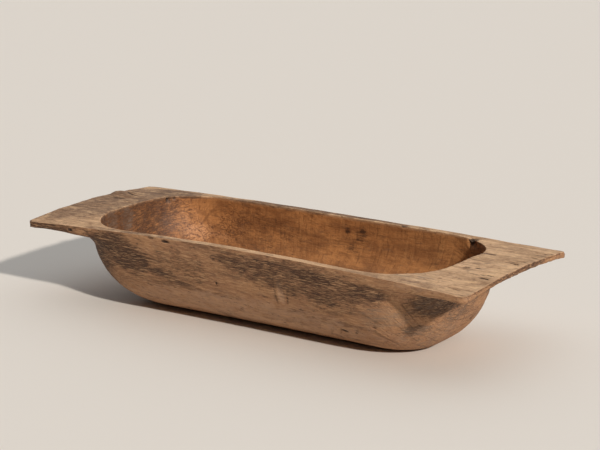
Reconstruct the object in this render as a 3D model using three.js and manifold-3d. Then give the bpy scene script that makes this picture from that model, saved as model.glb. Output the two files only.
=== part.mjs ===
// An antique dough trough, hewn and hollowed from one half log: a long hollow, a rounded hull
// round it, and a thin ledge left at each end to lift it by. It is a single piece of wood.
// +Z is up and the grain runs along X. The origin is on the ground, under the middle.

import Module from 'manifold-3d';
import * as THREE from 'three';
import { LoftGeometry } from 'three/addons/geometries/LoftGeometry.js';
import { mergeVertices } from 'three/addons/utils/BufferGeometryUtils.js';

// Driving dimensions, in millimetres.

const length = 1100;       // along X, from ledge end to ledge end
const leftWidth = 432;     // along Y, across the left ledge
const rightWidth = 420;    // along Y, across the right ledge
const height = 188;        // from the ground to the rim at mid length

const waist = 19;          // how far each long side draws in at mid length
const cornerDroop = 11;    // how far the ledge corners hang below the rim

const leftLedge = 116;     // from the left end to the hollow, on top
const rightLedge = 123;    // from the right end to the hollow, on top
const ledgeTip = 12;       // ledge thickness at its end
const ledgeRoot = 21;      // ledge thickness where it leaves the hull
const ledgeFillet = 40;    // hollow curve under the ledge, where it meets the hull
const ledgeCorner = 8;     // ledge corner radius in plan

const footLeft = 311;      // reach of the flat that the trough stands on, left of the middle
const footRight = 355;     // and right of it
const footWidth = 124;
const footCorner = 60;
const leftOverhang = 92;   // how far the left ledge stands out past the hull
const rightOverhang = 100;
const hullCorner = 168;    // hull corner radius in plan, below the ledge

const rimWall = 20;        // thickness of the long walls at the rim
const cornerExtra = 42;    // how much tighter than the hull the hollow's corners are, at the rim
const floorThickness = 41; // wood left under the hollow
const floorLength = 560;   // flat of the hollow's floor
const floorWidth = 130;
const floorCorner = 60;

// Roundness of the curves in elevation: 2 is an ellipse, and more is squarer.

const endRoundness = 1.6;
const bilgeRoundness = 2.2;
const hollowRoundness = 2.5;

// How finely the curves are divided.

const cornerSteps = 7;
const sideSteps = 14;
const endSteps = 5;
const hullSteps = 9;
const filletSteps = 4;
const undersideSteps = 4;
const hollowSteps = 9;

const halfLength = length / 2;
const halfWidth = Math.max(leftWidth, rightWidth) / 2;
const hullLeft = halfLength - leftOverhang;
const hullRight = halfLength - rightOverhang;
const rimCorner = hullCorner - cornerExtra;
const quarterTurn = Math.PI / 2;

// Half the width of the rim at a place along the trough: it tapers from left to right, and it
// is drawn in at mid length.
function halfWidthAt(x) {
  const along = x / halfLength;
  const taper = THREE.MathUtils.lerp(leftWidth, rightWidth, (along + 1) / 2) / 2;
  return taper - waist * (1 - along * along);
}

// One closed outline round the trough, counterclockwise from above: a rectangle with round
// corners that reaches `left` and `right` along X and `side` along Y. The wood's own shape is
// then given to it: the waist of the long sides and the droop of the corners.
function outline({ left, right, side, corner: wanted, z }) {
  const corner = Math.min(wanted, left, right, side);
  const points = [];
  const centres = [
    [right - corner, side - corner],
    [corner - left, side - corner],
    [corner - left, corner - side],
    [right - corner, corner - side],
  ];
  centres.forEach(([x, y], turn) => {
    for (let step = 0; step <= cornerSteps; step += 1) {
      const angle = (turn + step / cornerSteps) * quarterTurn;
      points.push(new THREE.Vector3(x + corner * Math.cos(angle), y + corner * Math.sin(angle), z));
    }
    const [nextX, nextY] = centres[(turn + 1) % centres.length];
    const last = points.at(-1);
    const angle = (turn + 1) * quarterTurn;
    const next = new THREE.Vector3(
      nextX + corner * Math.cos(angle),
      nextY + corner * Math.sin(angle),
      z,
    );
    const steps = turn % 2 === 0 ? sideSteps : endSteps;
    for (let step = 1; step < steps; step += 1) {
      points.push(last.clone().lerp(next, step / steps));
    }
  });
  for (const point of points) {
    const along = point.x / halfLength;
    const across = point.y / halfWidth;
    point.y *= halfWidthAt(point.x) / halfWidth;
    point.z -= cornerDroop * along * along * across * across * (point.z / height);
  }
  return points;
}

// How far a bulging curve has moved outwards, from 0 to 1, when it has risen by `rise` of its
// height.
function bulge(rise, roundness) {
  return (1 - (1 - rise) ** roundness) ** (1 / roundness);
}

// Heights that divide such a curve evenly, from 0 to 1.
function rises(steps, roundness) {
  const heights = [];
  for (let step = 0; step <= steps; step += 1) {
    heights.push(1 - Math.cos((step / steps) * quarterTurn) ** (2 / roundness));
  }
  return heights;
}

const { lerp } = THREE.MathUtils;

// The hull, from the foot up to where the ledges begin to spring from it.
const springHeight = height - ledgeRoot - ledgeFillet;
const hull = rises(hullSteps, endRoundness).map((rise) => {
  const z = rise * springHeight;
  const out = bulge(rise, endRoundness);
  return {
    left: lerp(footLeft, hullLeft, out),
    right: lerp(footRight, hullRight, out),
    side: lerp(footWidth / 2, halfWidth, bulge(z / height, bilgeRoundness)),
    corner: lerp(footCorner, hullCorner, out),
    z,
  };
});

// The hollow curve that carries the hull out under the ledges.
const fillet = [];
for (let step = 1; step <= filletSteps; step += 1) {
  const angle = (step / filletSteps) * quarterTurn;
  const out = ledgeFillet * (1 - Math.cos(angle));
  const z = springHeight + ledgeFillet * Math.sin(angle);
  fillet.push({
    left: hullLeft + out,
    right: hullRight + out,
    side: lerp(footWidth / 2, halfWidth, bulge(z / height, bilgeRoundness)),
    corner: hullCorner - out,
    z,
  });
}

// The ledges: out along the underside to the end faces, and up those to the top.
const root = fillet.at(-1);
const ledges = [];
for (let step = 1; step <= undersideSteps; step += 1) {
  const out = step / undersideSteps;
  ledges.push({
    left: lerp(root.left, halfLength, out),
    right: lerp(root.right, halfLength, out),
    side: lerp(root.side, halfWidth, out),
    corner: lerp(root.corner, ledgeCorner, out),
    z: lerp(root.z, height - ledgeTip, out),
  });
}
ledges.push({ ...ledges.at(-1), z: height });

// The hollow, from its floor up to the rim.
const hollow = rises(hollowSteps, hollowRoundness).map((rise) => {
  const out = bulge(rise, hollowRoundness);
  return {
    left: lerp(floorLength / 2, halfLength - leftLedge, out),
    right: lerp(floorLength / 2, halfLength - rightLedge, out),
    side: lerp(floorWidth / 2, halfWidth - rimWall, out),
    corner: lerp(floorCorner, rimCorner, out),
    z: lerp(floorThickness, height, rise),
  };
});

// The blank's top runs in from its edges to a ring inside the hollow, so that it droops evenly
// towards the corners, and the hollow's cutter goes straight up through it.
const rim = hollow.at(-1);
const topRing = {
  left: rim.left - rimCorner / 2,
  right: rim.right - rimCorner / 2,
  side: rim.side - rimCorner / 2,
  corner: rimCorner / 2,
  z: height,
};
const cutterTop = { ...rim, z: height + rimWall };

const wasm = await Module();
wasm.setup();

// The closed solid that is lofted through a stack of outlines.
function loft(stack) {
  const skin = new LoftGeometry(stack.map(outline), { capStart: true, capEnd: true });
  const bare = new THREE.BufferGeometry();
  bare.setAttribute('position', skin.getAttribute('position'));
  bare.setIndex(skin.getIndex());
  const merged = mergeVertices(bare);
  return new wasm.Manifold(
    new wasm.Mesh({
      numProp: 3,
      vertProperties: merged.attributes.position.array,
      triVerts: new Uint32Array(merged.index.array),
    }),
  );
}

const blank = loft([...hull, ...fillet, ...ledges, topRing]);
const cutter = loft([...hollow, cutterTop]);
const { vertProperties, triVerts } = blank.subtract(cutter).getMesh();

const geometry = new THREE.BufferGeometry();
geometry.setAttribute('position', new THREE.BufferAttribute(vertProperties, 3));
geometry.setIndex(new THREE.BufferAttribute(triVerts, 1));
geometry.computeVertexNormals();

const trough = new THREE.Mesh(
  geometry,
  new THREE.MeshStandardMaterial({ color: 0x8a6442, roughness: 0.75, metalness: 0 }),
);
trough.name = 'trough_body';

const part = new THREE.Group();
part.add(trough);

export default part;
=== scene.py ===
"""An antique dough trough, hewn and hollowed from one half log of softwood.

The solid from the frame gives the size and the place. The piece modelled here stands for it, with
what an axe, a gouge and a century of use leave on the wood: an uneven hull, worn edges, cracks,
chips, knots and a smoky patina. Lengths are in metres, +Z is up and the grain runs along X.
"""

import math
from dataclasses import dataclass, replace

import bmesh
import bpy
from mathutils import Euler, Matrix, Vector, noise


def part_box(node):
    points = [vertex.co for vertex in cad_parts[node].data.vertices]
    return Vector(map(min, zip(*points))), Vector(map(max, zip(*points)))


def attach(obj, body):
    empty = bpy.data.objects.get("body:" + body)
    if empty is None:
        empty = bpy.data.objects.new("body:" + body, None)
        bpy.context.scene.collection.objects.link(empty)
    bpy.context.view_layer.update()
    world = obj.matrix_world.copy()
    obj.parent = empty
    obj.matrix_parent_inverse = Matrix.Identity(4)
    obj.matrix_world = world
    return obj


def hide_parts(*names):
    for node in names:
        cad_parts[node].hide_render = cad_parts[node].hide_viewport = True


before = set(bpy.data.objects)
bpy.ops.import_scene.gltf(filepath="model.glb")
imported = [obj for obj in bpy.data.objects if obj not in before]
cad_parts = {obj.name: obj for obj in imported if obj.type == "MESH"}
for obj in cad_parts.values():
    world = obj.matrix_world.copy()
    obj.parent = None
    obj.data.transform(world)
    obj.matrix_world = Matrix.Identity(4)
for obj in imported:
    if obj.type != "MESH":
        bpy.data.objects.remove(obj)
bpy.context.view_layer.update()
low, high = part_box("trough_body")

MM = 0.001
QUARTER_TURN = math.pi / 2

# The trough's own sizes, as in the solid.

LENGTH = high.x - low.x
HEIGHT = high.z - low.z
LEFT_WIDTH = 432 * MM
RIGHT_WIDTH = 420 * MM
WAIST = 19 * MM
CORNER_DROOP = 11 * MM

LEFT_LEDGE = 116 * MM
RIGHT_LEDGE = 123 * MM
LEDGE_TIP = 12 * MM
LEDGE_ROOT = 21 * MM
LEDGE_FILLET = 40 * MM
LEDGE_CORNER = 8 * MM

FOOT_LEFT = 311 * MM
FOOT_RIGHT = 355 * MM
FOOT_WIDTH = 124 * MM
FOOT_CORNER = 60 * MM
LEFT_OVERHANG = 92 * MM
RIGHT_OVERHANG = 100 * MM
HULL_CORNER = 168 * MM

RIM_WALL = 20 * MM
FLOOR_THICKNESS = 41 * MM
FLOOR_LENGTH = 560 * MM
FLOOR_WIDTH = 130 * MM
FLOOR_CORNER = 60 * MM
FLOOR_DISH = 2 * MM

END_ROUNDNESS = 1.6
BILGE_ROUNDNESS = 2.2
HOLLOW_ROUNDNESS = 2.5

HALF_LENGTH = LENGTH / 2
HALF_WIDTH = max(LEFT_WIDTH, RIGHT_WIDTH) / 2

# How far below the rim the hollow's first rings lie, in millimetres, where its lip is worn round.
LIP_DROPS = (1, 2, 3.2, 4.6, 6.2)

# The hollow's corner radii at the rim: far right, far left, near left, near right.
RIM_CORNERS = (134 * MM, 133 * MM, 128 * MM, 148 * MM)

# How finely the piece is divided, round it and from the foot to the hollow's floor.
POINTS_PER_QUARTER = 120
FOOT_RINGS = 8
HULL_RINGS = 34
FILLET_RINGS = 10
UNDERSIDE_RINGS = 12
EDGE_RINGS = 7
TOP_RINGS = 18
HOLLOW_RINGS = 34
FLOOR_RINGS = 10

POINTS_ROUND = 4 * POINTS_PER_QUARTER

# The skin's spacing under the marks that are carved.
FINE_SPACING = 2.4 * MM

# Vertices that fall together in the middle of the foot and of the floor are joined.
WELD = 0.01 * MM

# Patterns that run down the walls are laid on a drum as far round as the rim of the hollow. They
# let go of it over this height above the floor.
STROKE_RADIUS = 366 * MM
RING_SPACING = 5 * MM
STROKE_RUNOUT = 25 * MM

# How near the lip the even rings of the hollow may come, as a share of its depth.
RING_GAP = 0.02


# --- Shape -----------------------------------------------------------------------------------


@dataclass
class Outline:
    """A level outline round the trough: a rectangle with round corners.

    `hollow` and `top` say how far the surface there belongs to the hollow and to the top.
    """

    left: float
    right: float
    side: float
    corners: tuple
    z: float
    hollow: float = 0
    top: float = 0


def lerp(start, end, share):
    return start + (end - start) * share


def smoothstep(start, end, value):
    share = min(max((value - start) / (end - start), 0), 1)
    return share * share * (3 - 2 * share)


def between(start, end, share):
    """The outline a share of the way from one to another."""
    return Outline(
        left=lerp(start.left, end.left, share),
        right=lerp(start.right, end.right, share),
        side=lerp(start.side, end.side, share),
        corners=tuple(lerp(a, b, share) for a, b in zip(start.corners, end.corners)),
        z=lerp(start.z, end.z, share),
        hollow=lerp(start.hollow, end.hollow, share),
        top=lerp(start.top, end.top, share),
    )


def bulge(rise, roundness):
    """How far a bulging curve has moved outwards, when it has risen by a share of its height."""
    return (1 - (1 - rise) ** roundness) ** (1 / roundness)


def rises(steps, roundness, width, height):
    """Heights from 0 to 1 that divide such a curve into pieces of about equal length."""
    samples = 400
    heights = [1 - math.cos(n / samples * QUARTER_TURN) ** (2 / roundness) for n in range(samples + 1)]
    points = [Vector((width * bulge(rise, roundness), height * rise)) for rise in heights]
    travelled = [0]
    for before, after in zip(points, points[1:]):
        travelled.append(travelled[-1] + (after - before).length)
    even = [0]
    for rise, distance in zip(heights, travelled):
        if distance >= len(even) / steps * travelled[-1] and len(even) < steps:
            even.append(rise)
    return [*even, 1]


def spine_of(outline):
    """The line along the middle of an outline, which its inner rings close up to."""
    return replace(
        outline,
        left=outline.left - outline.side,
        right=outline.right - outline.side,
        side=0,
        corners=(0,) * 4,
    )


def hull_side(z):
    """Half the hull's width at a height."""
    return lerp(FOOT_WIDTH / 2, HALF_WIDTH, bulge(z / HEIGHT, BILGE_ROUNDNESS))


def hull_outlines(foot):
    """The hull, from the foot up, and the hollow curve that carries it out under the ledges."""
    left = HALF_LENGTH - LEFT_OVERHANG
    right = HALF_LENGTH - RIGHT_OVERHANG
    spring = HEIGHT - LEDGE_ROOT - LEDGE_FILLET
    stack = []
    for rise in rises(HULL_RINGS, END_ROUNDNESS, left - foot.left, spring):
        out = bulge(rise, END_ROUNDNESS)
        stack.append(
            Outline(
                left=lerp(foot.left, left, out),
                right=lerp(foot.right, right, out),
                side=hull_side(rise * spring),
                corners=(lerp(FOOT_CORNER, HULL_CORNER, out),) * 4,
                z=rise * spring,
            )
        )
    for step in range(1, FILLET_RINGS + 1):
        angle = step / FILLET_RINGS * QUARTER_TURN
        out = LEDGE_FILLET * (1 - math.cos(angle))
        z = spring + LEDGE_FILLET * math.sin(angle)
        stack.append(Outline(left + out, right + out, hull_side(z), (HULL_CORNER - out,) * 4, z))
    return stack


def ledge_outlines(root, rim):
    """The ledges: out along the underside, up the edge, and in over the top to the rim."""
    tip = Outline(HALF_LENGTH, HALF_LENGTH, HALF_WIDTH, (LEDGE_CORNER,) * 4, HEIGHT - LEDGE_TIP)
    edge = replace(tip, z=HEIGHT)
    stack = [between(root, tip, step / UNDERSIDE_RINGS) for step in range(1, UNDERSIDE_RINGS + 1)]
    stack += [between(tip, edge, step / EDGE_RINGS) for step in range(1, EDGE_RINGS + 1)]
    # The rings crowd towards both edges of the top, where wear rounds them.
    for step in range(1, TOP_RINGS + 1):
        level = between(edge, rim, (1 - math.cos(step / TOP_RINGS * math.pi)) / 2)
        stack.append(replace(level, top=1))
    return stack


def hollow_outlines(rim):
    """The hollow, from just under its rim down to the middle of its dished floor."""
    floor = Outline(
        left=FLOOR_LENGTH / 2,
        right=FLOOR_LENGTH / 2,
        side=FLOOR_WIDTH / 2,
        corners=(FLOOR_CORNER,) * 4,
        z=FLOOR_THICKNESS,
    )
    depth = rim.z - floor.z
    even = rises(HOLLOW_RINGS, HOLLOW_ROUNDNESS, rim.side - floor.side, depth)
    lip = [1 - drop * MM / depth for drop in LIP_DROPS]
    stack = []
    for rise in lip + [rise for rise in reversed(even) if rise < lip[-1] - RING_GAP]:
        level = between(floor, rim, bulge(rise, HOLLOW_ROUNDNESS))
        inside = min((1 - rise) / (1 - lip[-1]), 1)
        stack.append(replace(level, z=lerp(floor.z, rim.z, rise), hollow=inside, top=1 - inside))
    floor = stack[-1]
    dish = replace(spine_of(floor), z=floor.z - FLOOR_DISH)
    stack += [between(floor, dish, step / FLOOR_RINGS) for step in range(1, FLOOR_RINGS + 1)]
    return stack


def outlines():
    """Every outline from the middle of the foot, out over the ledges and down to the floor."""
    foot = Outline(FOOT_LEFT, FOOT_RIGHT, FOOT_WIDTH / 2, (FOOT_CORNER,) * 4, 0)
    rim = Outline(
        left=HALF_LENGTH - LEFT_LEDGE,
        right=HALF_LENGTH - RIGHT_LEDGE,
        side=HALF_WIDTH - RIM_WALL,
        corners=RIM_CORNERS,
        z=HEIGHT,
        top=1,
    )
    stack = [between(spine_of(foot), foot, step / FOOT_RINGS) for step in range(FOOT_RINGS)]
    stack += hull_outlines(foot)
    stack += ledge_outlines(stack[-1], rim)
    stack += hollow_outlines(rim)
    return stack


def quarter_point(reach, side, corner, share):
    """The point a share of the way round a quarter outline, from its end at y = 0 to x = 0."""
    rise = side - corner
    run = reach - corner
    turn = corner * QUARTER_TURN
    distance = share * (rise + turn + run)
    if distance < rise:
        return reach, distance
    if distance < rise + turn:
        angle = (distance - rise) / corner
        return run + corner * math.cos(angle), rise + corner * math.sin(angle)
    return run + rise + turn - distance, side


def half_width_at(x):
    """Half the rim's width at a place along the trough: it tapers and has a waist."""
    along = x / HALF_LENGTH
    return lerp(LEFT_WIDTH, RIGHT_WIDTH, (along + 1) / 2) / 2 - WAIST * (1 - along * along)


def outline_point(outline, place):
    """The numbered point on an outline, counterclockwise from the middle of the right end."""
    quarter, step = divmod(place, POINTS_PER_QUARTER)
    share = step / POINTS_PER_QUARTER
    if quarter in (1, 3):
        share = 1 - share
    reach = outline.right if quarter in (0, 3) else outline.left
    x, y = quarter_point(reach, outline.side, outline.corners[quarter], share)
    x = x if quarter in (0, 3) else -x
    y = y if quarter in (0, 1) else -y
    along = x / HALF_LENGTH
    across = y / HALF_WIDTH
    droop = CORNER_DROOP * along * along * across * across * outline.z / HEIGHT
    return Vector((x, y * half_width_at(x) / HALF_WIDTH, outline.z - droop))


def loft(mesh):
    """Draws the whole skin up from the middle of the foot, one outline after another."""
    place = mesh.verts.layers.int.new("place")
    hollow = mesh.verts.layers.float.new("hollow")
    top = mesh.verts.layers.float.new("top")
    stroke = mesh.verts.layers.float_vector.new("stroke")
    ring = bmesh.ops.create_circle(mesh, segments=POINTS_ROUND, radius=1)["verts"]
    for vert in ring:
        turned = math.atan2(vert.co.y, vert.co.x) / math.tau
        vert[place] = round(turned * POINTS_ROUND) % POINTS_ROUND
    edges = list(mesh.edges)
    for number, outline in enumerate(outlines()):
        if number:
            grown = bmesh.ops.extrude_edge_only(mesh, edges=edges)["geom"]
            ring = [item for item in grown if isinstance(item, bmesh.types.BMVert)]
            fresh = set(ring)
            edges = [
                item
                for item in grown
                if isinstance(item, bmesh.types.BMEdge) and fresh.issuperset(item.verts)
            ]
        for vert in ring:
            vert.co = outline_point(outline, vert[place])
            vert[hollow] = outline.hollow
            vert[top] = outline.top
            turned = vert[place] / POINTS_ROUND * math.tau
            drum = Vector((math.cos(turned), math.sin(turned), 0)) * STROKE_RADIUS
            drum.z = number * RING_SPACING
            on_wall = smoothstep(FLOOR_THICKNESS, FLOOR_THICKNESS + STROKE_RUNOUT, outline.z)
            vert[stroke] = drum.lerp(vert.co, outline.hollow * (1 - on_wall))
    bmesh.ops.remove_doubles(mesh, verts=mesh.verts, dist=WELD)
    bmesh.ops.recalc_face_normals(mesh, faces=mesh.faces)


# --- Marks of age, painted light and painted shade -------------------------------------------


@dataclass
class Mark:
    """One crack, chip, knot, stain or scuff, or a patch of painted light or of painted shade: an
    ellipsoid on the surface, in millimetres.

    `turn` is in degrees about X, Y and Z. `depth` is how deep the mark goes, negative where the wood
    stands proud, and the tints after it are how strongly it colours the wood. Low on the near wall
    `worn` paints bounce light from the floor; in the hollow's far right corner `patina` paints shade,
    and beside the left ledge's lifted grain `crack` partly paints shade.
    """

    part: str
    place: tuple
    size: tuple
    turn: tuple = (0, 0, 0)
    depth: float = 0
    crack: float = 0
    patina: float = 0
    grey: float = 0
    worn: float = 0
    burr: float = 0

    def closeness(self, point):
        """1 in the middle of the mark, falling smoothly to 0 at its edge."""
        turn = Euler([math.radians(degrees) for degrees in self.turn]).to_matrix()
        offset = turn.transposed() @ (point / MM - Vector(self.place))
        reach = Vector([offset[axis] / self.size[axis] for axis in range(3)]).length_squared
        return max(1 - reach, 0) ** 2

    def lies_on(self, hollow, top):
        """Whether the mark touches a surface that is so much hollow and so much top."""
        shares = {"any": 1, "hollow": hollow, "top": top, "outside": 1 - hollow - top}
        return shares[self.part] > 0.2


# The marks' tints. Besides wear, patina and cracks, worn carries painted bounce light low on the near
# wall, patina painted shade in the hollow's far right corner, and crack partly painted shade beside
# the left ledge's lifted grain.
TINTS = ("crack", "patina", "grey", "worn", "burr")

CARVED = [
    # Left ledge: drying cracks from its end, and the grain lifted beside them. The dark crack tint in
    # the groove before the lifted grain is partly painted shade on its steep face.
    Mark("top", (-532, 86, 186), (44, 30, 16), (0, 0, 14), depth=-6),
    Mark("top", (-520, 98, 185), (44, 10, 14), (0, 0, 21), depth=4.5, crack=1),
    Mark("top", (-510, 66, 187), (44, 20, 14), (0, 0, 12), depth=-3),
    # Partly a crack, partly painted shade: the dark tint stands for the shade on the lifted grain's
    # steep face.
    Mark("top", (-500, 84, 186), (30, 6, 12), (0, 0, -14), depth=3, crack=1),
    Mark("top", (-508, 40, 187), (38, 7, 12), (0, 0, 8), depth=2, crack=0.8),
    Mark("top", (-493, -40, 187), (44, 3, 8), (0, 0, 3), depth=1.4, crack=0.45),
    Mark("top", (-504, -164, 180), (26, 4, 8), (0, 0, 2), depth=0.8, crack=0.3),
    Mark("top", (-470, 20, 188), (36, 9, 8), (0, 0, 4), depth=-1.6),
    # Left ledge: a knot hole in its side.
    Mark("outside", (-436, -208, 172), (8, 8, 5), depth=3.5, crack=1),
    # Rim: broken notches and knots.
    Mark("any", (-424, 117, 180), (10, 10, 12), depth=6, crack=1),
    Mark("any", (-408, 128, 181), (14, 7, 7), depth=3, crack=0.7),
    Mark("any", (-390, 142, 183), (12, 6, 5), depth=2, crack=0.5),
    Mark("any", (350, 176, 181), (16, 18, 24), (0, 0, -20), depth=9, crack=1),
    Mark("any", (362, 168, 175), (12, 14, 14), depth=4, crack=0.6),
    Mark("any", (177, 179, 187), (13, 8, 7), depth=3, crack=0.8),
    Mark("outside", (-182, -197, 180), (16, 8, 4), (0, 3, 0), depth=3.5, crack=1),
    Mark("outside", (-221, -198, 183), (14, 8, 4.4), (0, 4, 0), depth=2, crack=0.7),
    # Near wall: small holes, slots and a drying check.
    Mark("outside", (-58, -185, 106), (4.4, 8, 4.4), depth=2.2, crack=1),
    Mark("outside", (242, -158, 48), (18, 10, 3.6), (0, 8, 0), depth=3, crack=1),
    Mark("outside", (320, -170, 69), (9, 8, 3.4), (0, 6, 0), depth=2, crack=0.8),
    Mark("outside", (384, -158, 102), (3, 12, 24), (0, 5, 0), depth=1.6, crack=0.5),
    Mark("outside", (104, -183, 120), (13, 14, 74), (0, -6, 0), depth=1, worn=0.65),
    Mark("outside", (90, -182, 112), (5, 12, 62), (0, -5, 0), depth=0.7, patina=0.55),
    Mark("outside", (121, -182, 118), (5, 12, 56), (0, 4, 0), depth=0.7, patina=0.5),
    # Near right: the knot under the ledge.
    Mark("outside", (412, -180, 159), (17, 22, 8), (0, 14, -30), depth=2.2, crack=0.45),
    Mark("outside", (398, -188, 170), (10, 14, 5), (0, 10, -25), depth=2.5, crack=0.9),
    Mark("outside", (426, -166, 147), (9, 14, 4), (0, 20, -35), depth=2, crack=0.8),
    # Right ledge: cracks and chips that run in from its end.
    Mark("top", (520, 32, 188), (30, 4, 10), (0, 0, -6), depth=3.4, crack=1),
    Mark("top", (514, 44, 188), (24, 7, 10), (0, 0, 14), depth=2.2, crack=0.8),
    Mark("top", (524, 60, 188), (20, 5, 10), (0, 0, -10), depth=1.8, crack=0.7),
    Mark("top", (524, 150, 182), (24, 4, 10), (0, 0, 6), depth=3, crack=1),
    Mark("top", (530, 105, 185), (16, 4, 10), (0, 0, -8), depth=1.8, crack=0.7),
    Mark("top", (518, -70, 187), (26, 4, 10), (0, 0, 6), depth=2.6, crack=0.9),
    Mark("top", (522, -92, 186), (22, 5, 10), (0, 0, -6), depth=2.6, crack=0.9),
    Mark("top", (505, -177, 180), (24, 4, 10), (0, 0, -6), depth=2, crack=0.8),
    Mark("top", (520, -130, 183), (22, 3.4, 10), (0, 0, 4), depth=1.6, crack=0.6),
    Mark("top", (456, -44, 188), (16, 5, 9), (0, 0, 14), depth=1.4, crack=0.8),
    Mark("top", (478, -38, 188), (12, 6, 9), (0, 0, -8), depth=1.6, crack=0.9),
    Mark("top", (388, -156, 183), (22, 4, 9), (0, 0, 4), depth=1, crack=0.4),
    Mark("top", (470, 60, 188), (44, 3, 9), (0, 0, 1), depth=1, crack=0.35),
    Mark("top", (455, -100, 185), (30, 3, 9), (0, 0, 2), depth=0.8, crack=0.3),
]

STAINS_AND_PAINTED_LIGHT = [
    # Smoky patina and grey dust on the near wall, from left to right.
    Mark("outside", (-415, -70, 85), (150, 170, 100), patina=0.75),
    Mark("outside", (-400, -120, 132), (140, 150, 105), patina=0.7),
    Mark("outside", (-340, -190, 157), (110, 60, 40), patina=0.8),
    Mark("outside", (-280, -190, 127), (90, 60, 46), patina=0.75),
    Mark("outside", (-204, -189, 108), (62, 40, 13), (0, 8, 0), patina=0.75),
    Mark("outside", (-168, -184, 93), (56, 40, 10), (0, 10, 0), patina=0.55),
    Mark("outside", (-160, -190, 125), (160, 60, 60), patina=0.35),
    Mark("outside", (-3, -193, 159), (85, 40, 20), (0, 5, 0), patina=0.65),
    Mark("outside", (150, -190, 147), (300, 60, 60), (0, 3, 0), patina=0.55),
    Mark("outside", (185, -192, 157), (100, 40, 24), (0, 4, 0), patina=0.75),
    Mark("outside", (204, -188, 117), (80, 40, 18), (0, 10, 0), patina=0.65),
    Mark("outside", (310, -190, 147), (80, 40, 30), (0, 4, 0), patina=0.7),
    Mark("outside", (349, -170, 95), (90, 60, 40), grey=0.5),
    Mark("outside", (394, -131, 67), (48, 50, 22), patina=0.5, grey=0.5),
    Mark("outside", (425, -115, 129), (72, 95, 50), patina=0.8, grey=0.4),
    Mark("outside", (460, -50, 107), (70, 120, 90), patina=0.4, grey=0.35),
    # Painted bounce light from the floor: the near wall is painted paler low down, and at its right
    # end, with grey dust there.
    Mark("outside", (0, -150, 52), (480, 90, 52), worn=0.55),
    Mark("outside", (400, -90, 47), (120, 110, 60), worn=0.2, grey=0.4),
    # The hollow: a smoke-grey left end, painted shade in the far right corner, where shadow falls,
    # small burns, and a burr.
    Mark("hollow", (-434, -72, 170), (34, 34, 46), grey=0.45, patina=0.8),
    Mark("hollow", (-434, -18, 162), (34, 36, 52), grey=0.45, patina=0.8),
    Mark("hollow", (-424, -115, 165), (34, 38, 42), grey=0.4, patina=0.8),
    Mark("hollow", (-420, 20, 150), (110, 190, 120), patina=0.65),
    Mark("hollow", (-400, 60, 170), (90, 90, 30), patina=0.5),
    # Painted shade: darkens the hollow's far right corner, where shadow falls.
    Mark("hollow", (376, 150, 162), (60, 50, 60), patina=0.3),
    Mark("hollow", (36, 175, 157), (11, 14, 8), patina=0.9),
    Mark("hollow", (75, 175, 161), (9, 14, 9), patina=1),
    Mark("hollow", (70, 173, 150), (26, 14, 26), patina=0.45),
    Mark("hollow", (40, 173, 125), (60, 24, 26), patina=0.3),
    Mark("hollow", (-398, 128, 135), (34, 40, 36), burr=0.45),
    Mark("hollow", (-360, 152, 103), (46, 46, 30), burr=0.9),
    Mark("hollow", (-300, 168, 99), (40, 24, 14), (0, 12, 0), burr=0.6),
    Mark("hollow", (-395, 125, 150), (64, 60, 50), burr=0.3),
    Mark("hollow", (-280, 172, 130), (70, 40, 60), burr=0.22),
    Mark("hollow", (-210, 172, 120), (190, 60, 80), patina=0.25),
    # Ledges and rim: smoky at the left and along the far side, grey where hands held them, and
    # bare along the near rim.
    Mark("top", (-488, 96, 186), (26, 14, 10), worn=0.5),
    Mark("top", (-440, 150, 182), (130, 100, 18), patina=0.7),
    Mark("top", (-500, 0, 185), (140, 300, 40), patina=0.6),
    Mark("outside", (-490, -212, 173), (120, 30, 24), patina=0.7),
    Mark("top", (-367, -195, 183), (50, 16, 10), patina=0.5),
    Mark("outside", (400, -214, 178), (190, 20, 16), worn=0.5),
    Mark("outside", (552, 0, 184), (26, 240, 14), patina=0.55),
    Mark("top", (300, -195, 184), (90, 20, 14), patina=0.5, worn=0.3),
    Mark("top", (440, -185, 180), (120, 26, 16), patina=0.35),
    Mark("top", (400, -150, 185), (70, 40, 14), grey=0.5),
    Mark("top", (480, -20, 188), (60, 70, 14), grey=0.3),
    Mark("top", (140, -187, 187), (300, 16, 10), worn=0.5),
    Mark("top", (-250, -192, 185), (200, 16, 10), patina=0.5),
    Mark("top", (-60, 187, 187), (460, 16, 10), patina=0.75),
]


# --- Hand work, wear and weather --------------------------------------------------------------


def wave(point, along, across, seed):
    """Smooth unevenness from -1 to 1, in waves of one length along the grain and one across."""
    return noise.noise(Vector((point.x / along + seed, point.y / across, point.z / across - seed)))


def facets(point, along, across, seed):
    """Shallow scoops that meet in ridges, from 0 in a scoop to 1 on a ridge."""
    ridge = 0.6
    spot = Vector((point.x / along + seed, point.y / across, point.z / across))
    nearest = noise.voronoi(spot)[0]
    return 1 - min((nearest[1] - nearest[0]) / ridge, 1)


def relief(point, stroke, hollow, top):
    """How far the hewn and weathered surface stands out from the plain one, in millimetres."""
    outside = 1 - hollow - top
    height = 1.6 * wave(point, 170 * MM, 120 * MM, 3) + 0.6 * wave(point, 60 * MM, 30 * MM, 8)
    if outside > 0.01:
        hewn = 1.2 * facets(point, 80 * MM, 34 * MM, 5) + 0.5 * wave(point, 30 * MM, 6 * MM, 1)
        height += outside * (hewn - 0.4)
    if hollow > 0.01:
        gouged = 0.8 * facets(stroke, 26 * MM, 26 * MM, 2) + 0.3 * wave(stroke, 8 * MM, 8 * MM, 6)
        height += hollow * (gouged - 0.3)
    if top > 0.01:
        grain = 0.6 * wave(point, 90 * MM, 5.5 * MM, 4) + 0.5 * wave(point, 35 * MM, 12 * MM, 7)
        height += top * grain
    # It dies out towards the foot, which stays flat.
    return smoothstep(0, 35 * MM, point.z) * height


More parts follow.
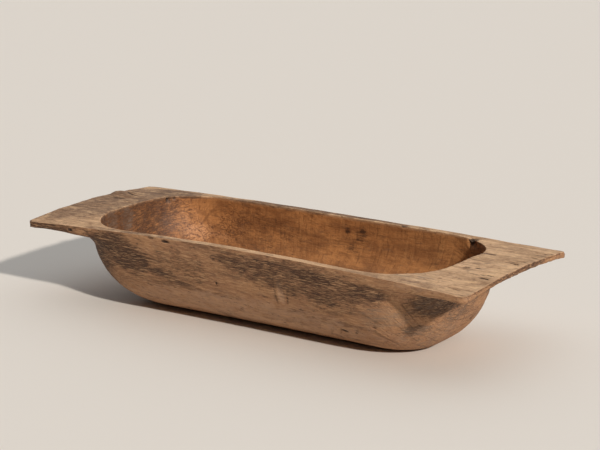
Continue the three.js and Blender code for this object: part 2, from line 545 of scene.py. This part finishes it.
def eaten(point):
    """How far the right ledge's broken end is eaten away, in millimetres."""
    if point.x < HALF_LENGTH - 20 * MM:
        return 0
    # The patterns run across the end only, so their length along the grain has no effect.
    any_length = 1
    end = Vector((0, point.y, point.z))
    rough = 0.5 + 0.5 * wave(Vector((0, point.y, 0)), any_length, 21 * MM, 11)
    splinter = max(wave(end, any_length, 7 * MM, 12), 0)
    # A split follows the grain round the end, a little below the top.
    sag = 7 * MM * (point.y / HALF_WIDTH) ** 2 - 1.5 * MM * wave(end, any_length, 50 * MM, 13)
    below = (HEIGHT - 5 * MM - sag - point.z) / (1.6 * MM)
    split = math.exp(-below * below)
    return 4.5 * rough**2 + 3 * splinter + 4.5 * split * (0.4 + 0.6 * rough)


def touched(mesh, mark, margin=0):
    """The vertices that a mark reaches."""
    hollow = mesh.verts.layers.float["hollow"]
    top = mesh.verts.layers.float["top"]
    wide = replace(mark, size=tuple(size + margin for size in mark.size))
    centre = Vector(mark.place) * MM
    reach = max(wide.size) * MM
    return [
        (vert, wide.closeness(vert.co))
        for vert in mesh.verts
        if (vert.co - centre).length_squared < reach * reach
        and mark.lies_on(vert[hollow], vert[top])
    ]


def refine(mesh, marks, spacing):
    """Divides the skin more finely, twice over, under the marks that are carved."""
    for _ in range(2):
        reached = set()
        for mark in marks:
            reached.update(vert for vert, near in touched(mesh, mark, margin=3) if near)
        long_edges = [
            edge
            for edge in mesh.edges
            if reached.issuperset(edge.verts) and edge.calc_length() > spacing
        ]
        bmesh.ops.subdivide_edges(mesh, edges=long_edges, cuts=1, use_grid_fill=True)


def smooth(mesh, verts):
    """Draws each of the vertices half way to the middle of its neighbours."""
    bmesh.ops.smooth_vert(
        mesh, verts=verts, factor=0.5, use_axis_x=True, use_axis_y=True, use_axis_z=True
    )


def soften_ledges(mesh):
    """Lets the hull flow out into the underside of the ledges, short of their ends."""
    ledge_start = 425 * MM
    ledge_stop = 525 * MM
    lowest = 100 * MM
    highest = HEIGHT - LEDGE_TIP - 5 * MM
    under = [
        vert
        for vert in mesh.verts
        if ledge_start < abs(vert.co.x) < ledge_stop and lowest < vert.co.z < highest
    ]
    for _ in range(30):
        smooth(mesh, under)


def round_edges(mesh):
    """Wears the edges round, here and there more than elsewhere."""
    top = mesh.verts.layers.float["top"]
    ledge_side = HEIGHT - 22 * MM
    near_edge = [vert for vert in mesh.verts if vert[top] > 0.01 or vert.co.z > ledge_side]
    for turn in range(7):
        spared = (turn - 4) * 0.12
        smooth(mesh, [vert for vert in near_edge if wave(vert.co, 70 * MM, 70 * MM, 9) > spared])


def carve(mesh):
    """Gives the skin its hewn surface, its chips and cracks, and notes where they colour it."""
    hollow = mesh.verts.layers.float["hollow"]
    top = mesh.verts.layers.float["top"]
    stroke = mesh.verts.layers.float_vector["stroke"]
    tints = {name: mesh.verts.layers.float.new(name) for name in TINTS}
    mesh.normal_update()
    moves = {}
    for vert in mesh.verts:
        broken = eaten(vert.co)
        # Where the end is eaten 8 mm deep, it is nearly as dark as a crack.
        vert[tints["crack"]] = 0.9 * min(broken / 8, 1)
        # The far side is stained in patches as large as those of the near side.
        outside = 1 - vert[hollow] - vert[top]
        patches = smoothstep(-0.1, 0.45, wave(vert.co, 140 * MM, 50 * MM, 21))
        far = smoothstep(-20 * MM, 80 * MM, vert.co.y)
        vert[tints["patina"]] = 0.75 * outside * patches * far
        height = relief(vert.co, vert[stroke], vert[hollow], vert[top])
        moves[vert] = (vert.normal * height - Vector((broken, 0, 0))) * MM
    for mark in CARVED + STAINS_AND_PAINTED_LIGHT:
        for vert, near in touched(mesh, mark):
            moves[vert] -= vert.normal * near * mark.depth * MM
            # A mark keeps its full colour round its middle.
            spread = min(1.6 * near, 1)
            for name, layer in tints.items():
                vert[layer] = max(vert[layer], spread * getattr(mark, name))
    for vert, move in moves.items():
        vert.co += move
        vert.co.z = max(vert.co.z, 0)


# --- Material --------------------------------------------------------------------------------


def colour(hex_value):
    """An sRGB colour such as 0x8a6442 as linear RGBA."""
    channels = [(hex_value >> shift & 255) / 255 for shift in (16, 8, 0)]
    linear = [c / 12.92 if c <= 0.04045 else ((c + 0.055) / 1.055) ** 2.4 for c in channels]
    return (*linear, 1)


def add(tree, kind, inputs=None, **settings):
    """Adds a node, sets its settings, sets or links its inputs, and gives it back."""
    made = tree.nodes.new(kind)
    for name, value in settings.items():
        setattr(made, name, value)
    for name, value in (inputs or {}).items():
        if isinstance(value, bpy.types.NodeSocket):
            tree.links.new(value, made.inputs[name])
        else:
            made.inputs[name].default_value = value
    return made


# The Mix node's sockets for two colours and for the colour that comes out of it.
UNDER = 6
OVER = 7
MIXED = 2


@dataclass
class Figure:
    """A pattern in the wood: the size of its blotches in millimetres, and how rough it is.

    It is turned in degrees about Y, and laid out in the object's own space, in that of the log or
    along the strokes of the gouge.
    """

    size: tuple
    detail: float = 4
    roughness: float = 0.55
    warp: float = 0
    turn: float = 0
    follows: str = "Object"


# The heart of the log lies above the trough, and the year rings run round it.
HEART_HEIGHT = 222 * MM

FIGURES = {
    # Along the grain: year rings, short fibres, pores and drying checks. Real pores are too fine
    # to show, so these are drawn coarser.
    "grain": Figure((170, 3.4, 50), detail=4, roughness=0.6, warp=0.3, follows="log"),
    "fibres": Figure((24, 1.7, 9), detail=4, roughness=0.65, follows="log"),
    "pores": Figure((12, 1.3, 4), detail=2, follows="log"),
    "checks": Figure((44, 12, 2.2), detail=3, roughness=0.6, warp=0.2),
    # Broad differences in colour, and smoke that was wiped along the wall.
    "clouds": Figure((110, 60, 40), detail=5, roughness=0.6),
    "mottle": Figure((22, 20, 14), detail=5, roughness=0.6, warp=0.5),
    "smears": Figure((36, 18, 6), detail=9, roughness=0.76, turn=-7, warp=0.4),
    "streaks": Figure((18, 12, 2.4), detail=7, roughness=0.75, turn=-6, warp=0.3),
    "scratches": Figure((26, 10, 1.5), detail=2, turn=12),
    "cross_scratches": Figure((22, 10, 1.5), detail=2, turn=-24),
    "specks": Figure((4, 4, 2.6), detail=2),
    # The burr's curls.
    "curls": Figure((20, 20, 12), detail=2, roughness=0.5, warp=1.4),
    # Down the wall: gouge marks, and the rubbing of hands and scrapers.
    "gouges": Figure((5, 5, 24), detail=5, roughness=0.65, follows="stroke"),
    "rubs": Figure((13, 13, 45), detail=5, roughness=0.65, follows="stroke"),
}


@dataclass
class Torn:
    """A tint from the marks with a pattern added to it, times `contrast` and plus `shift`."""

    tint: str
    pattern: str
    contrast: float
    shift: float


TORN = {
    # Smoke, dust, wear and the painted bounce light lie where the marks say, broken up by broader
    # patterns.
    "smoke": Torn("patina", "smears", 2.6, -1.3),
    "dust": Torn("grey", "smears", 2.6, -1.3),
    # Wear, and the painted bounce light low on the near wall.
    "wear_and_bounce_light": Torn("worn", "mottle", 1.6, -0.8),
    "knotty": Torn("burr", "mottle", 1.6, -0.8),
    # Soot keeps to fine streaks inside the smoke, and cracks fray along the fibres.
    "soot": Torn("patina", "streaks", 4.2, -2.35),
    "split": Torn("crack", "fibres", 2, -1),
}


@dataclass
class Coat:
    """One colour over those before it, where its mask goes from `start` to `end`."""

    mask: str
    start: float
    end: float
    most: float
    tone: int


# The hull: brown, paler where worn and low down, where the paleness is painted bounce light from the
# floor, with smoke, soot and scratches over it.
OUTSIDE_GROUND = 0x9B7050
OUTSIDE_COATS = [
    Coat("clouds", 0.35, 0.7, 0.7, 0xA87C55),
    Coat("mottle", 0.5, 0.7, 0.55, 0x775137),
    Coat("fibres", 0.5, 0.66, 0.6, 0xBF936A),
    Coat("grain", 0.48, 0.36, 0.65, 0x62432D),
    # Pale where worn, and painted bounce light low on the near wall.
    Coat("wear_and_bounce_light", 0.0, 0.9, 0.75, 0xBE987A),
    Coat("smoke", 0.0, 0.85, 0.8, 0x53341F),
    Coat("soot", 0.05, 0.6, 0.75, 0x301D12),
    Coat("rubs", 0.56, 0.68, 0.35, 0x4A3323),
    Coat("scratches", 0.58, 0.64, 0.7, 0xBE946C),
    Coat("cross_scratches", 0.6, 0.66, 0.6, 0xB38B64),
    Coat("fibres", 0.4, 0.32, 0.7, 0x38261B),
]

# The ledges and the rim: dry and pale, with dark pores and drying checks.
TOP_GROUND = 0xD3AB84
TOP_COATS = [
    Coat("clouds", 0.42, 0.62, 0.7, 0xA5815F),
    Coat("mottle", 0.5, 0.66, 0.85, 0xDFB88C),
    Coat("mottle", 0.46, 0.32, 0.7, 0x8B6747),
    Coat("grain", 0.5, 0.36, 0.7, 0x84603F),
    Coat("pores", 0.42, 0.3, 0.6, 0x6B4C34),
    Coat("fibres", 0.54, 0.66, 0.6, 0xE2C09C),
    Coat("checks", 0.36, 0.3, 0.85, 0x4A3424),
    Coat("smoke", 0.05, 0.9, 0.8, 0x6E4E37),
    Coat("soot", 0.1, 0.7, 0.4, 0x46301F),
]

# The hollow: warm red-brown from use, stroked by the gouge.
HOLLOW_GROUND = 0xC08550
HOLLOW_COATS = [
    Coat("clouds", 0.35, 0.65, 0.75, 0x82532F),
    Coat("rubs", 0.5, 0.68, 0.6, 0xBE8652),
    Coat("gouges", 0.46, 0.32, 0.5, 0x5C371D),
    Coat("mottle", 0.5, 0.66, 0.5, 0x7A4E2B),
    Coat("grain", 0.46, 0.32, 0.4, 0x5C371D),
    Coat("knotty", 0.1, 1.0, 0.75, 0xD09768),
    # Over real smoke and soot, these two coats also lay the painted shade in the hollow's far right
    # corner.
    Coat("smoke", 0.0, 0.9, 0.8, 0x55341F),
    Coat("soot", 0.1, 0.5, 0.6, 0x2F1D13),
]
CURL_COATS = [Coat("curl_lines", 0.06, 0.0, 0.75, 0x54301B)]

# Over all of it: grey dust, dark specks, the dark inside of the cracks, and bare worn edges.
LAST_COATS = [
    Coat("dust", 0.1, 0.9, 0.6, 0x84705F),
    Coat("specks", 0.72, 0.78, 0.7, 0x2E1E14),
    # Crack darkness, which beside the left ledge's lifted grain is partly painted shade.
    Coat("split", 0.3, 0.9, 0.9, 0x2A1A11),
    Coat("worn_top", 0.0, 0.9, 0.8, 0xCBA27A),
]


def spaces(tree):
    """Where a point lies: in the object, in the log, and along the strokes of the gouge."""
    place = add(tree, "ShaderNodeTexCoord").outputs["Object"]
    # In the log, a place is measured along it, outwards from its heart, and across.
    from_heart = {"Vector": place, "Location": (0, 0, -HEART_HEIGHT), "Scale": (0, 1, 1)}
    spoke = add(tree, "ShaderNodeMapping", from_heart).outputs[0]
    depth = add(tree, "ShaderNodeVectorMath", {0: spoke}, operation="LENGTH").outputs["Value"]
    apart = add(tree, "ShaderNodeSeparateXYZ", {0: place}).outputs
    in_log = add(tree, "ShaderNodeCombineXYZ", {0: apart[0], 1: depth, 2: apart[1]}).outputs[0]
    strokes = add(tree, "ShaderNodeAttribute", attribute_name="stroke").outputs["Vector"]
    return {"Object": place, "log": in_log, "stroke": strokes}


def figures(tree):
    """Every pattern in the wood, and everything that the marks and the shape say, by name."""
    space = spaces(tree)
    seen = {}
    for name, figure in FIGURES.items():
        turned = {
            "Vector": space[figure.follows],
            "Rotation": (0, math.radians(figure.turn), 0),
            "Scale": [1 / (length * MM) for length in figure.size],
        }
        pattern = {
            "Vector": add(tree, "ShaderNodeMapping", turned).outputs[0],
            "Scale": 1,
            "Detail": figure.detail,
            "Roughness": figure.roughness,
            "Distortion": figure.warp,
        }
        seen[name] = add(tree, "ShaderNodeTexNoise", pattern).outputs["Fac"]
    for name in ("hollow", "top", *TINTS):
        seen[name] = add(tree, "ShaderNodeAttribute", attribute_name=name).outputs["Fac"]
    for name, torn in TORN.items():
        tear = {0: seen[torn.pattern], 1: torn.contrast, 2: torn.shift}
        tear = add(tree, "ShaderNodeMath", tear, operation="MULTIPLY_ADD").outputs[0]
        seen[name] = add(tree, "ShaderNodeMath", {0: seen[torn.tint], 1: tear}).outputs[0]
    # The curls' dark lines run where their noise crosses its middle.
    centred = add(tree, "ShaderNodeMath", {0: seen["curls"], 1: 0.5}, operation="SUBTRACT")
    lines = add(tree, "ShaderNodeMath", {0: centred.outputs[0]}, operation="ABSOLUTE")
    seen["curl_lines"] = lines.outputs[0]
    worn_top = {0: seen["worn"], 1: seen["top"]}
    seen["worn_top"] = add(tree, "ShaderNodeMath", worn_top, operation="MULTIPLY").outputs[0]
    return seen


def coated(tree, seen, ground, coats):
    """The colour after each coat is laid over the ones before it."""
    for coat in coats:
        mask = {
            "Value": seen[coat.mask],
            "From Min": coat.start,
            "From Max": coat.end,
            "To Min": 0,
            "To Max": coat.most,
        }
        spread = add(tree, "ShaderNodeMapRange", mask, interpolation_type="SMOOTHSTEP").outputs[0]
        layers = {0: spread, UNDER: ground, OVER: colour(coat.tone)}
        ground = add(tree, "ShaderNodeMix", layers, data_type="RGBA").outputs[MIXED]
    return ground


def aged_wood():
    """Old softwood, hewn with an axe and a gouge: pale on top, smoky outside, warm in the hollow.

    That gives the eye a matt surface with long grain, torn streaks of soot and pale scratches, and
    a smoother hollow where a burr with curled lines catches the light.
    """
    material = bpy.data.materials.new("aged_softwood")
    material.use_nodes = True
    tree = material.node_tree
    tree.nodes.clear()
    seen = figures(tree)

    outside = coated(tree, seen, colour(OUTSIDE_GROUND), OUTSIDE_COATS)
    top = coated(tree, seen, colour(TOP_GROUND), TOP_COATS)
    hollow = coated(tree, seen, colour(HOLLOW_GROUND), HOLLOW_COATS)
    curls = coated(tree, seen, hollow, CURL_COATS)
    curly = add(tree, "ShaderNodeMapRange", {"Value": seen["burr"], "From Max": 0.22}).outputs[0]
    # The burr's curls lie over the hollow, the top over the outside, and the hollow over both.
    curled = {0: curly, UNDER: hollow, OVER: curls}
    hollow = add(tree, "ShaderNodeMix", curled, data_type="RGBA").outputs[MIXED]
    wood = outside
    for share, over in ((seen["top"], top), (seen["hollow"], hollow)):
        layers = {0: share, UNDER: wood, OVER: over}
        wood = add(tree, "ShaderNodeMix", layers, data_type="RGBA").outputs[MIXED]
    wood = coated(tree, seen, wood, LAST_COATS)

    # Fibres stand up everywhere, and the gouge's strokes in the hollow, which is also less matt.
    fine = add(tree, "ShaderNodeMath", {0: seen["pores"], 1: seen["fibres"]}).outputs[0]
    strokes = {0: seen["gouges"], 1: seen["hollow"], 2: fine}
    height = add(tree, "ShaderNodeMath", strokes, operation="MULTIPLY_ADD").outputs[0]
    bump = add(tree, "ShaderNodeBump", {"Height": height, "Strength": 0.6, "Distance": 1.3 * MM})
    matt = {"Value": seen["hollow"], "To Min": 0.8, "To Max": 0.58}
    finish = {
        "Base Color": wood,
        "Roughness": add(tree, "ShaderNodeMapRange", matt).outputs[0],
        "Normal": bump.outputs[0],
    }
    shader = add(tree, "ShaderNodeBsdfPrincipled", finish)
    add(tree, "ShaderNodeOutputMaterial", {"Surface": shader.outputs[0]})
    return material


# --- The piece -------------------------------------------------------------------------------


def trough():
    """The whole trough, in one piece."""
    mesh = bmesh.new()
    loft(mesh)
    soften_ledges(mesh)
    round_edges(mesh)
    refine(mesh, CARVED, FINE_SPACING)
    carve(mesh)
    bmesh.ops.recalc_face_normals(mesh, faces=mesh.faces)
    for face in mesh.faces:
        face.smooth = True
    data = bpy.data.meshes.new("hewn_trough")
    mesh.to_mesh(data)
    mesh.free()
    data.materials.append(aged_wood())
    piece = bpy.data.objects.new("hewn_trough", data)
    bpy.context.scene.collection.objects.link(piece)
    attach(piece, "root")
    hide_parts("trough_body")


# --- Floor, light and camera -------------------------------------------------------------------


def floor():
    """A plain pale floor, a fraction of a millimetre under the foot."""
    mesh = bmesh.new()
    bmesh.ops.create_grid(mesh, x_segments=1, y_segments=1, size=30)
    data = bpy.data.meshes.new("floor")
    mesh.to_mesh(data)
    mesh.free()
    paint = bpy.data.materials.new("pale_painted_floor")
    paint.use_nodes = True
    shader = paint.node_tree.nodes["Principled BSDF"]
    shader.inputs["Base Color"].default_value = colour(0xE6E0D8)
    shader.inputs["Roughness"].default_value = 0.7
    data.materials.append(paint)
    plane = bpy.data.objects.new("floor", data)
    plane.location.z = -0.3 * MM
    bpy.context.scene.collection.objects.link(plane)


def direction(azimuth, elevation):
    """Towards a place seen round the object: azimuth 0 is in front of it and 90 at its right."""
    around = math.radians(azimuth)
    above = math.radians(elevation)
    level = math.cos(above)
    return Vector((math.sin(around) * level, -math.cos(around) * level, math.sin(above)))


def aim(thing, target, away):
    """Puts a camera or a light that far away from its target, facing it."""
    thing.location = target + away
    thing.rotation_euler = (-away).to_track_quat("-Z", "Y").to_euler()
    bpy.context.scene.collection.objects.link(thing)


def light():
    """A soft key light from the right, in a room that is pale above and behind."""
    lamp = bpy.data.lights.new("key", "SUN")
    lamp.angle = math.radians(3)
    lamp.energy = 3
    lamp.color = colour(0xFFF8F0)[:3]
    aim(bpy.data.objects.new("key", lamp), Vector((0, 0, 0)), 4 * direction(65.5, 31))

    world = bpy.data.worlds.new("room")
    world.use_nodes = True
    tree = world.node_tree
    seen = add(tree, "ShaderNodeTexCoord").outputs["Generated"]
    palest = Vector((-0.1, 0.5, 0.86)).normalized()
    facing = add(tree, "ShaderNodeVectorMath", {0: seen, 1: palest}, operation="DOT_PRODUCT")
    glow = {
        "Value": facing.outputs["Value"],
        "From Min": 0.1,
        "From Max": 0.9,
        "To Min": 0.03,
        "To Max": 0.7,
    }
    background = tree.nodes["Background"]
    background.inputs["Color"].default_value = colour(0xFAFBFC)
    strength = add(tree, "ShaderNodeMapRange", glow, interpolation_type="SMOOTHSTEP")
    tree.links.new(strength.outputs[0], background.inputs["Strength"])
    bpy.context.scene.world = world
    bpy.context.scene.view_settings.view_transform = "Standard"


def camera():
    """A long lens, from a little above and from the right of the front."""
    lens = bpy.data.cameras.new("camera")
    lens.lens = 110
    lens.sensor_width = 36
    lens.clip_end = 100
    seen_from = bpy.data.objects.new("camera", lens)
    target = Vector((-36.3 * MM, 93.5 * MM, 177 * MM))
    aim(seen_from, target, 4009.5 * MM * direction(34.26, 13.853))
    bpy.context.scene.camera = seen_from


trough()
floor()
light()
camera()
